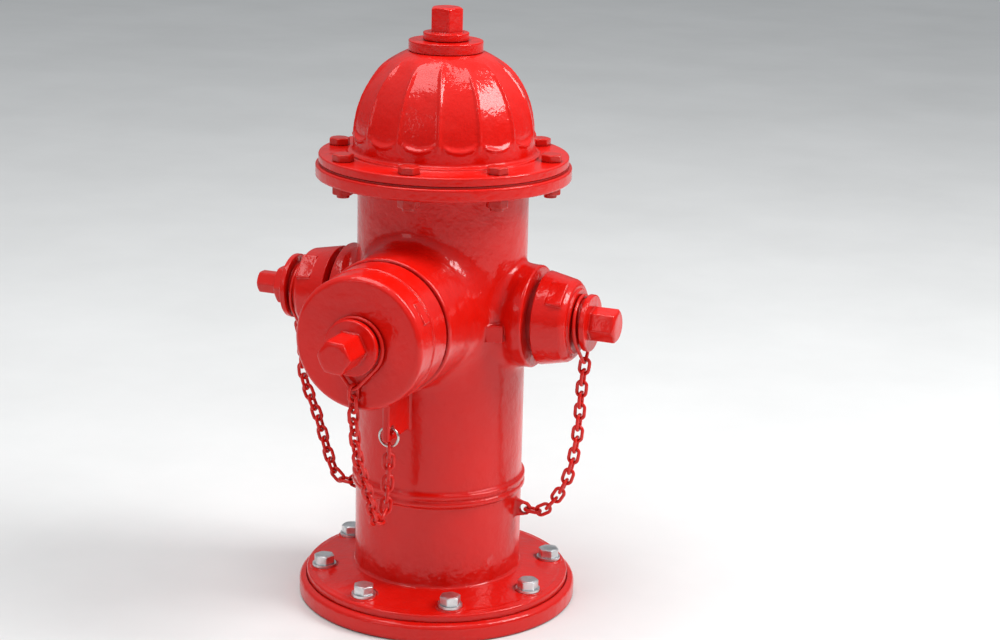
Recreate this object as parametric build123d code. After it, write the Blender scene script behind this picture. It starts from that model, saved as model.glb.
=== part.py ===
from build123d import *
import math
import os

# A dry-barrel fire hydrant, the part that stands above the pavement.
# Millimetres. +Z is up, z = 0 is the pavement under the ground flange, and the Z axis is the
# barrel's axis. The pumper nozzle points to -Y and the two hose nozzles to +X and -X.

os.makedirs("parts", exist_ok=True)

# ---------------------------------------------------------------- clearances
run = 0.05            # radial running fit of shafts and nuts
free = 0.3            # radial gap between threaded pieces, and between faces that never touch
seat = 0.1            # radial gap of pieces that are fixed in a bore

# ---------------------------------------------------------------- barrel and its flanges
barrel_r = 108.0
barrel_wall = 11.0
bore_r = barrel_r - barrel_wall

base_flange_r = 171.4
ground_flange_r = base_flange_r + 9.6
ground_side_h = 18.0          # upright edge of the ground flange
ground_flange_h = 24.0        # top of its sloping shoulder
ground_lip_w = 4.0            # flat rim left between shoulder and recess

base_flange_t = 16.0
base_flange_proud = 9.0       # how far it stands out of the ground flange's recess
gasket_t = 1.6
base_top = ground_flange_h + base_flange_proud
base_bottom = base_top - base_flange_t
base_cone_h = 9.0             # the flange rises this much from its rim to the barrel
base_spot_h = 3.8             # flat seats for the bolt heads, above the rim
base_spot_r = 18.0
base_seat_z = base_top + base_spot_h

base_bolt_count = 8
base_bolt_pcr = 148.8         # radius of the bolt circle
base_bolt_phase = 29.5        # degrees from -Y towards +X
base_bolt_r = 8.0
base_bolt_af = 24.0
base_bolt_head_h = 11.0
base_washer_r = 15.5
base_washer_t = 3.0

bead_z = 160.5                # reinforcing band round the barrel
bead_half_h = 9.0
bead_proud = 4.5

top_flange_r = 160.9
top_flange_bottom = 555.9
top_flange_t = 16.4
top_flange_top = top_flange_bottom + top_flange_t

# ---------------------------------------------------------------- bonnet
bonnet_flange_r = 157.1
bonnet_flange_t = 11.5
bonnet_bottom = top_flange_top + gasket_t
bonnet_flange_top = bonnet_bottom + bonnet_flange_t
bonnet_step_r = 121.0         # low ring round the foot of the dome
bonnet_step_h = 3.5
dome_r = 114.0
dome_foot = bonnet_flange_top + 14.6    # the dome is upright below this height
dome_h = 122.0
dome_power = 2.2
dome_wall = 9.0
dome_top = dome_foot + 113.6
dome_rib_count = 14
dome_rib_phase = 19.5
dome_rib_w = 4.0
dome_rib_proud = 1.4

bonnet_bolt_count = 8
bonnet_bolt_pcr = 139.0
bonnet_bolt_phase = 5.5
bonnet_bolt_r = 8.0
bonnet_bolt_af = 24.0
bonnet_bolt_head_h = 9.0
bonnet_nut_h = 12.0
bonnet_bolt_tail = 4.0

# ---------------------------------------------------------------- operating gear
nut_shaft_r = 21.5
nut_collar_r = 28.0
nut_collar_t = 11.0
nut_lower_r = 20.0
nut_lower_end = dome_foot + 40.0
nut_top = dome_foot + 168.0
pentagon_flat = 38.1          # point to flat
pentagon_phase = 33.0
thrust_washer_t = 2.0
hold_down_r = 46.4
hold_down_t = 13.5
hold_down_spigot_r = 33.0
hold_down_spigot_h = 10.5
weather_cap_r = 28.6
weather_cap_t = 9.6
hub_r = 42.0                  # boss inside the dome that carries the nut
hub_bottom = dome_foot + 62.0

stem_r = 14.0
stem_top = dome_foot + 116.0
stem_bottom = 98.0
sleeve_r = 16.5
sleeve_top = dome_foot + 12.0
sleeve_bottom = dome_foot - 70.0
seal_plate_r = 102.5
seal_plate_t = 8.0
seal_ledge_h = 6.0
seal_hub_r = 27.0
seal_hub_h = 38.0
oring_r = 2.2
coupling_r = 22.0
coupling_bottom = 62.0
coupling_top = 130.0
coupling_pin_r = 4.0

# ---------------------------------------------------------------- nozzles
pumper_z = 401.3
pumper_boss_r = 86.0
pumper_boss_end = 175.5
hose_z = 388.8
hose_boss_r = 56.0
hose_rim_r = 65.0             # the boss flares to this at its face
hose_flare_start = 104.0
hose_rim_start = 121.0
hose_boss_end = 132.5
boss_blend_r = 14.0           # round where the bosses run into the barrel and each other
boss_edge = 2.0
casting_pad_at = (97.0, -60.0, 378.0)
casting_pad_turn = 20.0
casting_pad_w = 22.0
casting_pad_depth = 16.0

pumper_bore_r = 57.15         # 4 1/2 in waterway
pumper_thread_r = 73.1
pumper_pitch = 6.35
pumper_collar_r = 80.0
pumper_collar_t = 2.4
hose_bore_r = 31.75           # 2 1/2 in waterway
hose_thread_r = 38.95
hose_pitch = 3.387
hose_collar_r = 45.0
hose_collar_t = 6.0
nozzle_wall = 8.0
nozzle_inner_end = 92.0       # the inserts stop just inside the barrel wall
thread_depth = 1.6
nozzle_oring_r = 1.0
nozzle_oring_back = 8.0      # from the boss's face back to the o-ring's middle

# ---------------------------------------------------------------- caps
pumper_cap_r = 83.2
pumper_cap_rear = 178.9
pumper_cap_front = 253.1
pumper_cap_step = 1.2
hose_cap_r = 52.2             # at the front of the cap's tapered side
hose_cap_rear_r = 59.5
hose_cap_rear = 142.5
right_cap_front = 184.0
left_cap_front = 189.0        # the left cap is a little longer
hose_cap_face_r = 41.0
hose_face_rise = 3.0
cap_front_t = 14.0
cap_gasket_t = 4.0
cap_neck_r = 30.5
pumper_neck_l = 12.0
right_neck_l = 10.5
left_neck_l = 11.5
pumper_hub_r = 34.0
right_hub_r = 36.0
left_hub_r = 42.0
cap_hub_t = 7.5
cap_nut_af = 38.1
hose_nut_l = 33.5
hose_nut_turn = 11.0
pumper_nut_l = 46.0
pumper_nut_turn = -4.0
stepped_nut_af = 46.0         # the left cap's nut has a wide foot and a slim end
stepped_nut_l = 18.0
stepped_tip_af = 27.0
stepped_tip_l = 29.6
pumper_pad_w = 28.0
pumper_pad_l = 14.0
hose_pad_w = 34.0
hose_pad_l = 20.0
pad_proud = 1.6

# ---------------------------------------------------------------- chains
link_wire_r = 2.25
link_inner_l = 15.6
link_inner_w = 7.6
link_slack = 0.4
ring_wire_r = 2.25
ring_inner_gap = 2.6          # the ring hangs loose on the cap's neck
ring_drop = 52.0              # from the nozzle axis to the middle of the ring's lowest wire
ring_tip_r = 7.5
ring_tilt = 4.0               # the ring leans out at the bottom, clear of the cap's face
side_lug_t = 6.5
side_lug_z = 130.5
side_lug_h = 29.0
side_lug_out = 22.0
side_lug_hole_r = 6.0
side_lug_tip_wall = 3.0
pumper_lug_t = 9.0
pumper_lug_out = 62.0
pumper_lug_bottom = 254.0
pumper_lug_hole_r = 6.0
split_ring_wire_r = 1.6
split_ring_r = 12.5
# slack routes between a chain's two ends, as (out from the barrel's axis, height)
right_chain_belly = [(193, 300), (190, 245), (185, 208), (176, 175), (162, 149), (147, 133)]
left_chain_belly = [(197.5, 300), (196, 266), (186.5, 240), (175.5, 213), (165, 180), (156, 153), (146, 135)]
# the pumper chain's, as (x, y, z)
pumper_chain_belly = [(1, -262.5, 310), (4, -257.5, 265), (5, -239, 225), (4, -217, 186), (1, -194, 161),
                      (0, -174, 161), (0, -164, 185), (0, -160, 213)]
pumper_chain_roll = 30.0
# share of a chain's links that swing with the cap, the rest swing on the lug
right_upper_share = 0.625
left_upper_share = 0.75
pumper_upper_share = 0.6


def azimuth(angle):
    """Unit vector at an angle from -Y towards +X."""
    return Vector(math.sin(math.radians(angle)), -math.cos(math.radians(angle)), 0)


def tube(outer, inner, low, high):
    """Ring about the Z axis between two heights."""
    body = Pos(0, 0, low) * Cylinder(outer, high - low, align=(Align.CENTER, Align.CENTER, Align.MIN))
    hole = Pos(0, 0, low - 1) * Cylinder(inner, high - low + 2, align=(Align.CENTER, Align.CENTER, Align.MIN))
    return body - hole


def rod(radius, low, high):
    """Solid cylinder about the Z axis between two heights."""
    return Pos(0, 0, low) * Cylinder(radius, high - low, align=(Align.CENTER, Align.CENTER, Align.MIN))


def turned(outline):
    """Solid turned about the Z axis from (radius, height) points."""
    profile = make_face(Polyline(*[(r, 0, z) for r, z in outline], close=True))
    return revolve(profile, axis=Axis.Z)


def hexagon(af, low, high, top_chamfer=1.2):
    """Hexagonal bar with its far end's corners turned off."""
    corner = af / math.sqrt(3)
    bar = Pos(0, 0, low) * extrude(RegularPolygon(corner, 6), high - low)
    return bar & crown(corner, low, high, top_chamfer)


def crown(corner, low, high, top_chamfer):
    """Turned envelope that rounds off a bar's corners at its far end."""
    slope = 2.0
    return turned([(0, low - 1), (corner + 1, low - 1), (corner + 1, high - top_chamfer - 1 / slope),
                   (corner - slope * top_chamfer, high), (0, high)])


def around(shape, count, phase, radius):
    """Copies of a shape on a circle about the Z axis, each at its azimuth."""
    return [Pos(*(azimuth(phase + i * 360 / count) * radius)) * Rot(0, 0, phase + i * 360 / count) * shape
            for i in range(count)]


def holes(count, phase, circle, radius, low, high):
    """Cutters for a circle of bolt holes."""
    return around(rod(radius, low, high), count, phase, circle)


def to_pumper(shape):
    """Lay a shape built along +Z along the pumper nozzle's axis, its height from the barrel's axis."""
    return Pos(0, 0, pumper_z) * Rot(90, 0, 0) * shape


def to_hose(shape, side):
    """Lay a shape built along +Z along a hose nozzle's axis; side is +1 for +X and -1 for -X."""
    return Pos(0, 0, hose_z) * Rot(0, 0, 90 * side) * Rot(90, 0, 0) * shape


def save(name, shape):
    """Write one node."""
    export_step(shape, f"parts/{name}.step")


# ---------------------------------------------------------------- ground flange and base joint
def ground_flange():
    recess_r = base_flange_r + free
    recess_floor = base_bottom - gasket_t
    rim_r = recess_r + ground_lip_w
    body = turned([(bore_r, 0), (ground_flange_r, 0), (ground_flange_r, ground_side_h),
                   (rim_r, ground_flange_h), (recess_r, ground_flange_h),
                   (recess_r, recess_floor), (bore_r, recess_floor)])
    return body - holes(base_bolt_count, base_bolt_phase, base_bolt_pcr, base_bolt_r + seat,
                        -1, ground_flange_h)


def base_gasket():
    ring = tube(base_flange_r - 1, bore_r, base_bottom - gasket_t, base_bottom)
    return ring - holes(base_bolt_count, base_bolt_phase, base_bolt_pcr, base_bolt_r + 0.7,
                        0, ground_flange_h)


def base_bolts():
    head_low = base_seat_z + base_washer_t
    bolt = rod(base_bolt_r, 1, head_low) + hexagon(base_bolt_af, head_low, head_low + base_bolt_head_h)
    return Compound(around(bolt, base_bolt_count, base_bolt_phase, base_bolt_pcr))


def base_washers():
    washer = tube(base_washer_r, base_bolt_r + seat, base_seat_z, base_seat_z + base_washer_t)
    return Compound(around(washer, base_bolt_count, base_bolt_phase, base_bolt_pcr))


# ---------------------------------------------------------------- barrel
def barrel_outside():
    foot = 5.0
    edge = 2.0
    return turned([
        (0, base_bottom), (base_flange_r, base_bottom), (base_flange_r, base_top - edge),
        (base_flange_r - edge, base_top), (base_flange_r - 3 * edge, base_top),
        (barrel_r + foot, base_top + base_cone_h), (barrel_r + 1.2, base_top + base_cone_h + 1.6),
        (barrel_r, base_top + base_cone_h + foot),
        (barrel_r, bead_z - bead_half_h - 2), (barrel_r + bead_proud, bead_z - bead_half_h + 2),
        (barrel_r + bead_proud, bead_z - 2.5), (barrel_r + bead_proud - 2, bead_z),
        (barrel_r + bead_proud, bead_z + 2.5),
        (barrel_r + bead_proud, bead_z + bead_half_h - 2), (barrel_r, bead_z + bead_half_h + 2),
        (barrel_r, top_flange_bottom - foot), (barrel_r + foot, top_flange_bottom),
        (top_flange_r, top_flange_bottom), (top_flange_r, top_flange_top - edge),
        (top_flange_r - edge, top_flange_top), (0, top_flange_top)])


def boss(radius, end):
    """Nozzle boss along +Z with its front edge turned off."""
    return turned([(0, 0), (radius, 0), (radius, end - boss_edge), (radius - boss_edge, end), (0, end)])


def bossed_barrel():
    """Plain stretch of barrel with the three nozzle bosses, their joins rounded."""
    low = hose_z - hose_boss_r - 3 * boss_blend_r
    high = pumper_z + pumper_boss_r + 2 * boss_blend_r
    body = rod(barrel_r, min(low, pumper_z - pumper_boss_r - 2 * boss_blend_r), high)
    body += to_pumper(boss(pumper_boss_r, pumper_boss_end))
    for side in (1, -1):
        body += to_hose(boss(hose_boss_r, hose_boss_end), side)
    joins = [edge for edge in body.edges() if edge.geom_type not in (GeomType.CIRCLE, GeomType.LINE)]
    body = fillet(joins, boss_blend_r)
    flare = turned([(0, hose_flare_start), (hose_boss_r - 1, hose_flare_start), (hose_rim_r, hose_rim_start),
                    (hose_rim_r, hose_boss_end - boss_edge), (hose_rim_r - boss_edge, hose_boss_end),
                    (0, hose_boss_end)])
    for side in (1, -1):
        body += to_hose(flare, side)
    return body


def side_lug(side):
    """Chain lug below a hose nozzle: a tapered upright plate with a hole."""
    tip = barrel_r + side_lug_out
    root = barrel_r - 3
    half = side_lug_h / 2
    outline = Polyline((root, 0, side_lug_z + half), (tip - 7, 0, side_lug_z + half * 0.55),
                       (tip, 0, side_lug_z + 2), (tip, 0, side_lug_z - 3),
                       (tip - 7, 0, side_lug_z - half * 0.7),
                       (root, 0, side_lug_z - half), close=True)
    plate = extrude(make_face(outline), side_lug_t / 2, dir=(0, 1, 0), both=True)
    hole_x = tip - side_lug_tip_wall - side_lug_hole_r
    hole = Pos(hole_x, 0, side_lug_z) * Rot(90, 0, 0) * Cylinder(side_lug_hole_r, side_lug_t + 2)
    lug = plate - hole
    return lug if side > 0 else mirror(lug, about=Plane.YZ)


def pumper_lug():
    """Chain lug under the pumper boss: an upright rib with a hole near its outer foot."""
    reach = barrel_r + pumper_lug_out
    top = pumper_z - pumper_boss_r + 6
    plate = Pos(0, -(barrel_r - 3 + reach) / 2, (pumper_lug_bottom + top) / 2) * Box(
        pumper_lug_t, reach - barrel_r + 3, top - pumper_lug_bottom)
    nose = plate.edges().filter_by(Axis.X).sort_by(Axis.Z)[:2].sort_by(Axis.Y)[0]
    plate = fillet(nose, 10)
    hole = Pos(0, *lug_hole()) * Rot(0, 90, 0) * Cylinder(pumper_lug_hole_r, pumper_lug_t + 2)
    return plate - hole


def casting_pad():
    """Small raised square on the casting between the pumper boss and the right hose boss."""
    pad = Box(casting_pad_w, casting_pad_depth, casting_pad_w)
    return Pos(*casting_pad_at) * Rot(0, 0, casting_pad_turn) * pad


def lug_hole():
    """Centre of the pumper lug's hole, as (y, z)."""
    return -(barrel_r + pumper_lug_out - 11), pumper_lug_bottom + 13


def upper_barrel():
    shell = barrel_outside() + bossed_barrel() + side_lug(1) + side_lug(-1) + pumper_lug() + casting_pad()
    shell -= rod(bore_r, base_bottom - 1, top_flange_top + 1)
    shell -= rod(seal_plate_r + seat, top_flange_top - seal_ledge_h, top_flange_top + 1)
    shell -= to_pumper(rod(pumper_bore_r + nozzle_wall + seat, 0, pumper_boss_end + 1))
    for side in (1, -1):
        shell -= to_hose(rod(hose_bore_r + nozzle_wall + seat, 0, hose_boss_end + 1), side)
    spot = rod(base_spot_r, base_bottom + 2, base_seat_z)
    shell += around(spot, base_bolt_count, base_bolt_phase, base_bolt_pcr)
    shell -= holes(base_bolt_count, base_bolt_phase, base_bolt_pcr, base_spot_r, base_seat_z,
                   base_top + 2 * base_cone_h)
    shell -= holes(base_bolt_count, base_bolt_phase, base_bolt_pcr, base_bolt_r + 0.7,
                   base_bottom - 1, base_seat_z + 1)
    shell -= holes(bonnet_bolt_count, bonnet_bolt_phase, bonnet_bolt_pcr, bonnet_bolt_r + 0.7,
                   top_flange_bottom - 1, top_flange_top + 1)
    return shell


# ---------------------------------------------------------------- bonnet
def dome_outline(shrink, proud=0.0, points=9):
    """Outside of the dome as (radius, height) points, drawn in by shrink or out by proud."""
    radius = dome_r - shrink + proud
    height = dome_h - shrink + proud
    low_r = hold_down_r - 2
    outline = []
    for i in range(points):
        angle = math.radians(90 * i / (points - 1))
        r = radius * math.cos(angle) ** (2 / dome_power)
        z = dome_foot + height * math.sin(angle) ** (2 / dome_power)
        if z < dome_top and r > low_r:
            outline.append((r, z))
    return outline


def dome_solid(shrink, low, proud=0.0, top=dome_top):
    """Solid dome from a height up to the flat on top."""
    outline = dome_outline(shrink, proud)
    foot_r = outline[0][0]
    top_r = hold_down_r - 1 + proud
    curve = Spline(*[(r, 0, z) for r, z in outline], (top_r, 0, top), tangents=[(0, 0, 1), (-1, 0, 0.25)])
    rest = Polyline((top_r, 0, top), (0, 0, top), (0, 0, low), (foot_r, 0, low), (foot_r, 0, dome_foot))
    return revolve(make_face(Curve() + [curve, rest]), axis=Axis.Z)


def dome_ribs(low):
    """Thin upright ribs that follow the dome."""
    raised = dome_solid(0, low, dome_rib_proud)
    fins = [Rot(0, 0, dome_rib_phase + i * 360 / dome_rib_count)
            * Pos(0, -dome_r, (low + dome_top) / 2)
            * Box(dome_rib_w, 2 * (dome_r - hold_down_r), dome_top - low)
            for i in range(dome_rib_count)]
    return [raised & fin for fin in fins]


def bonnet():
    step_top = bonnet_flange_top + bonnet_step_h
    edge = 1.5
    flange = turned([(0, bonnet_bottom), (bonnet_flange_r, bonnet_bottom),
                     (bonnet_flange_r, bonnet_flange_top - edge), (bonnet_flange_r - edge, bonnet_flange_top),
                     (bonnet_step_r, bonnet_flange_top), (bonnet_step_r - edge, step_top), (0, step_top)])
    body = flange + dome_solid(0, bonnet_flange_top)
    for rib in dome_ribs(step_top + 8):
        body += rib
    body -= dome_solid(dome_wall, bonnet_bottom - 1, top=dome_top - dome_wall)
    body += rod(hub_r, hub_bottom, dome_top - 1)
    # seat for the hold-down nut, then for the lower thrust washer, then the bore for the nut
    spigot_floor = dome_top - hold_down_spigot_h - 2 * thrust_washer_t - nut_collar_t - 3 * free
    body -= rod(hold_down_spigot_r + free, spigot_floor, dome_top + 1)
    body -= rod(nut_lower_r + run, hub_bottom - 1, dome_top)
    body -= rod(seal_plate_r + seat, bonnet_bottom - 1, bonnet_bottom + seal_plate_t - seal_ledge_h - gasket_t)
    body -= holes(bonnet_bolt_count, bonnet_bolt_phase, bonnet_bolt_pcr, bonnet_bolt_r + 0.7,
                  bonnet_bottom - 1, bonnet_flange_top + 1)
    return body


def bonnet_gasket():
    ring = tube(bonnet_flange_r - 1, seal_plate_r + 1, top_flange_top, bonnet_bottom)
    return ring - holes(bonnet_bolt_count, bonnet_bolt_phase, bonnet_bolt_pcr, bonnet_bolt_r + 0.7,
                        top_flange_top - 1, bonnet_bottom + 1)


def bonnet_bolts():
    tail = top_flange_bottom - bonnet_nut_h - bonnet_bolt_tail
    bolt = rod(bonnet_bolt_r, tail, bonnet_flange_top)
    bolt += hexagon(bonnet_bolt_af, bonnet_flange_top, bonnet_flange_top + bonnet_bolt_head_h)
    return Compound(around(bolt, bonnet_bolt_count, bonnet_bolt_phase, bonnet_bolt_pcr))


def bonnet_nuts():
    nut = hexagon(bonnet_bolt_af, top_flange_bottom - bonnet_nut_h, top_flange_bottom, 0.6)
    nut -= rod(bonnet_bolt_r + seat, top_flange_bottom - bonnet_nut_h - 1, top_flange_bottom + 1)
    return Compound(around(nut, bonnet_bolt_count, bonnet_bolt_phase, bonnet_bolt_pcr))


# ---------------------------------------------------------------- operating gear
spigot_bottom = dome_top - hold_down_spigot_h
collar_top = spigot_bottom - free - thrust_washer_t - free
collar_bottom = collar_top - nut_collar_t
washer_floor = collar_bottom - free - thrust_washer_t
hold_down_top = dome_top + hold_down_t
cap_floor = hold_down_top + free
cap_top = cap_floor + weather_cap_t


def hold_down_nut():
    oring_groove = 3.0
    body = rod(hold_down_r, dome_top, hold_down_top) + rod(hold_down_spigot_r, spigot_bottom, dome_top)
    body = chamfer(body.faces().sort_by(Axis.Z)[-1].edges(), 1.2)
    body -= rod(nut_shaft_r + run, spigot_bottom - 1, hold_down_top + 1)
    body -= tube(hold_down_spigot_r + 1, hold_down_spigot_r - oring_groove, dome_top - 4.5, dome_top - 0.5)
    return body


def hold_down_oring():
    return Pos(0, 0, dome_top - 2.5) * Torus(hold_down_spigot_r - 1.2, 1.4)


def weather_cap():
    body = rod(weather_cap_r, cap_floor, cap_top)
    body = chamfer(body.faces().sort_by(Axis.Z)[-1].edges(), 1.0)
    return body - rod(nut_shaft_r + seat, cap_floor - 1, cap_top + 1)


def operating_nut():
    corner = pentagon_flat / (1 + math.cos(math.radians(36)))
    pentagon = Pos(0, 0, cap_top) * extrude(
        RegularPolygon(corner, 5, rotation=pentagon_phase - 90), nut_top - cap_top)
    body = pentagon & crown(corner, cap_top, nut_top, 2.5)
    body += rod(nut_shaft_r, collar_top, cap_top)
    body += rod(nut_collar_r, collar_bottom, collar_top)
    body += rod(nut_lower_r, nut_lower_end, collar_bottom)
    return body - rod(stem_r + run, nut_lower_end - 1, stem_top + 4)


def thrust_washers():
    inner = nut_shaft_r + free
    upper = tube(nut_collar_r, inner, spigot_bottom - thrust_washer_t, spigot_bottom)
    lower = tube(nut_collar_r, inner, washer_floor, washer_floor + thrust_washer_t)
    return upper, lower


def seal_plate():
    low = top_flange_top - seal_ledge_h
    body = rod(seal_plate_r, low, low + seal_plate_t) + rod(seal_hub_r, low - seal_hub_h, low)
    body = body - rod(sleeve_r + run, low - seal_hub_h - 1, low + seal_plate_t + 1)
    for z in seal_oring_heights():
        body -= tube(sleeve_r + run + 2 * oring_r, sleeve_r, z - oring_r - seat, z + oring_r + seat)
    return body


def seal_oring_heights():
    low = top_flange_top - seal_ledge_h
    return (low - seal_hub_h + 9, low - 9)


def stem_orings():
    ring_r = sleeve_r + run + oring_r
    return Compound([Pos(0, 0, z) * Torus(ring_r, oring_r - seat) for z in seal_oring_heights()])


def upper_stem():
    body = rod(stem_r, stem_bottom, stem_top)
    return body - Pos(0, 0, coupling_pin_z()) * Rot(90, 0, 0) * Cylinder(coupling_pin_r + seat, 4 * stem_r)


def coupling_pin_z():
    return (coupling_top + stem_bottom) / 2


def stem_sleeve():
    return tube(sleeve_r, stem_r + run, sleeve_bottom, sleeve_top)


def stem_coupling():
    waist_z = (coupling_bottom + coupling_top) / 2 - 8
    waist = coupling_r - 3
    outline = [(stem_r + run, coupling_bottom), (coupling_r, coupling_bottom), (coupling_r, waist_z - 4),
               (waist, waist_z), (coupling_r, waist_z + 4), (coupling_r, coupling_top),
               (stem_r + run, coupling_top)]
    body = turned(outline)
    return body - Pos(0, 0, coupling_pin_z()) * Rot(90, 0, 0) * Cylinder(coupling_pin_r + seat, 4 * stem_r)


def coupling_pin():
    return Pos(0, 0, coupling_pin_z()) * Rot(90, 0, 0) * Cylinder(coupling_pin_r, 2 * coupling_r + 6)


# ---------------------------------------------------------------- nozzles and caps, built along +Z
def nozzle(bore, thread_r, collar_r, collar_t, pitch, boss_end, cap_rear, thread_end):
    """Bronze nozzle: a tube in the boss, a collar on its face and an outside thread."""
    root_r = thread_r - thread_depth
    body = tube(bore + nozzle_wall, bore, nozzle_inner_end, boss_end)
    body += tube(collar_r, bore, boss_end, boss_end + collar_t)
    body += tube(root_r, bore, boss_end + collar_t, thread_end)
    first = cap_rear + pitch
    turns = int((thread_end - first) / pitch)
    for i in range(turns):
        z = first + i * pitch
        crest = pitch * 0.15
        flank = pitch * 0.42
        body += turned([(root_r - 1, z - flank), (root_r, z - flank), (thread_r, z - crest),
                        (thread_r, z + crest), (root_r, z + flank), (root_r - 1, z + flank)])
    groove_z = boss_end - nozzle_oring_back
    depth = 2 * nozzle_oring_r + seat
    return body - tube(bore + nozzle_wall + 1, bore + nozzle_wall - depth, groove_z - depth, groove_z + depth)


def nozzle_oring(bore, boss_end):
    return Pos(0, 0, boss_end - nozzle_oring_back) * Torus(bore + nozzle_wall - nozzle_oring_r, nozzle_oring_r)


def cap(rear_r, outer, rear, front, thread_r, hollow_front, edge):
    """Cap shell along +Z, hollow behind, with a turned-off front edge."""
    rim = 1.2
    body = turned([(0, rear), (rear_r - rim, rear), (rear_r, rear + rim), (outer, front - edge),
                   (outer - edge, front), (0, front)])
    return body - rod(thread_r + free, rear - 1, hollow_front)


def cap_hub(front, neck_l, hub_r):
    """Neck for the chain ring and the round hub in front of it."""
    hub_low = front + neck_l
    neck = rod(cap_neck_r, front - 1, hub_low)
    hub = turned([(0, hub_low), (hub_r - 1, hub_low), (hub_r, hub_low + 1),
                  (hub_r, hub_low + cap_hub_t - 2.5), (hub_r - 2.5, hub_low + cap_hub_t),
                  (0, hub_low + cap_hub_t)])
    return neck + hub


def cap_pad(outer, middle, width, length, angle):
    """Low pad on a cap's side at an angle about the nozzle's axis."""
    depth = 6.0
    return Rot(0, 0, angle) * Pos(outer + pad_proud - depth / 2, 0, middle) * Box(depth, width, length)


def pumper_cap():
    rear, front = pumper_cap_rear, pumper_cap_front
    hollow = front - cap_front_t
    body = cap(pumper_cap_r, pumper_cap_r, rear, front, pumper_thread_r, hollow, 4.0)
    middle = (rear + front) / 2
    body -= tube(pumper_cap_r + 1, pumper_cap_r - pumper_cap_step, middle, front + 1)
    body += cap_pad(pumper_cap_r - pumper_cap_step, middle + pumper_pad_l / 2 + 5, pumper_pad_w, pumper_pad_l, 30)
    body += cap_hub(front, pumper_neck_l, pumper_hub_r)
    nut_low = front + pumper_neck_l + cap_hub_t
    body += Rot(0, 0, pumper_nut_turn) * hexagon(cap_nut_af, nut_low - 1, nut_low + pumper_nut_l, 3.0)
    return body


def hose_cap(side):
    front, neck_l, hub = (right_cap_front, right_neck_l, right_hub_r) if side > 0 else (
        left_cap_front, left_neck_l, left_hub_r)
    edge = 6.0
    body = cap(hose_cap_rear_r, hose_cap_r, hose_cap_rear, front, hose_thread_r, front - cap_front_t, edge)
    body += turned([(0, front - 1), (hose_cap_face_r, front - 1), (hose_cap_face_r, front + hose_face_rise - 1),
                    (hose_cap_face_r - 1, front + hose_face_rise), (0, front + hose_face_rise)])
    pad_angle = 130 if side > 0 else 45
    body += cap_pad(hose_cap_r + 1, front - edge - hose_pad_l / 2, hose_pad_w, hose_pad_l, pad_angle)
    body += cap_hub(front + hose_face_rise, neck_l, hub)
    nut_low = front + hose_face_rise + neck_l + cap_hub_t
    if side > 0:
        return body + Rot(0, 0, hose_nut_turn) * hexagon(cap_nut_af, nut_low - 1, nut_low + hose_nut_l, 3.0)
    foot_end = nut_low + stepped_nut_l
    body += hexagon(stepped_nut_af, nut_low - 1, foot_end, 2.0)
    return body + hexagon(stepped_tip_af, foot_end - 1, foot_end + stepped_tip_l, 1.5)


def cap_gasket(bore, thread_r, front):
    """Flat ring between a cap's inner face and its nozzle's end."""
    high = front - cap_front_t
    return tube(thread_r - 1, bore + 1, high - cap_gasket_t, high)


# ---------------------------------------------------------------- chains
ring_r = cap_neck_r + ring_inner_gap + ring_wire_r
ring_sag = ring_inner_gap - free


def first_link_place(face, axis_z):
    """Distance out and height of the first link's centre, hung on a chain ring's lowest wire."""
    tilt = math.radians(ring_tilt)
    reach = ring_r + ring_drop - ring_sag
    out = face + ring_wire_r + 2 * free + reach * math.sin(tilt)
    wire_z = axis_z + ring_r - ring_sag - reach * math.cos(tilt)
    return out, wire_z + ring_wire_r + 2 * free - link_inner_l / 2


def chain_ring(face):
    """Teardrop ring of wire round a cap's neck, about the Z axis, hanging to -Y; face is the cap's face."""
    low = ring_drop - ring_sag
    tip = (0, -(low - ring_tip_r))
    # common outer tangents of the big and the small circle
    distance = low - ring_tip_r
    tilt = math.asin((ring_r - ring_tip_r) / distance)
    big = [(ring_r * math.cos(tilt) * s, -ring_r * math.sin(tilt)) for s in (1, -1)]
    small = [(ring_tip_r * math.cos(tilt) * s, tip[1] - ring_tip_r * math.sin(tilt)) for s in (1, -1)]
    path = Curve() + [
        ThreePointArc(big[0], (0, ring_r), big[1]), Line(big[1], small[1]),
        ThreePointArc(small[1], (0, tip[1] - ring_tip_r), small[0]), Line(small[0], big[0])]
    wire = Wire(path.edges())
    start = Plane(origin=wire @ 0, z_dir=wire % 0)
    ring = sweep(start * Circle(ring_wire_r), path=wire)
    top = Pos(0, ring_r - ring_sag, face + ring_wire_r + 2 * free)
    return top * Rot(-ring_tilt, 0, 0) * Pos(0, -ring_r, 0) * ring


def link():
    """One chain link, long along X, its plane XY."""
    bend = link_inner_w / 2 + link_wire_r
    straight = link_inner_l / 2 - link_inner_w / 2
    path = Curve() + [
        Line((-straight, bend), (straight, bend)),
        ThreePointArc((straight, bend), (straight + bend, 0), (straight, -bend)),
        Line((straight, -bend), (-straight, -bend)),
        ThreePointArc((-straight, -bend), (-straight - bend, 0), (-straight, bend))]
    wire = Wire(path.edges())
    start = Plane(origin=wire @ 0, z_dir=wire % 0)
    return sweep(start * Circle(link_wire_r), path=wire)


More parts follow.
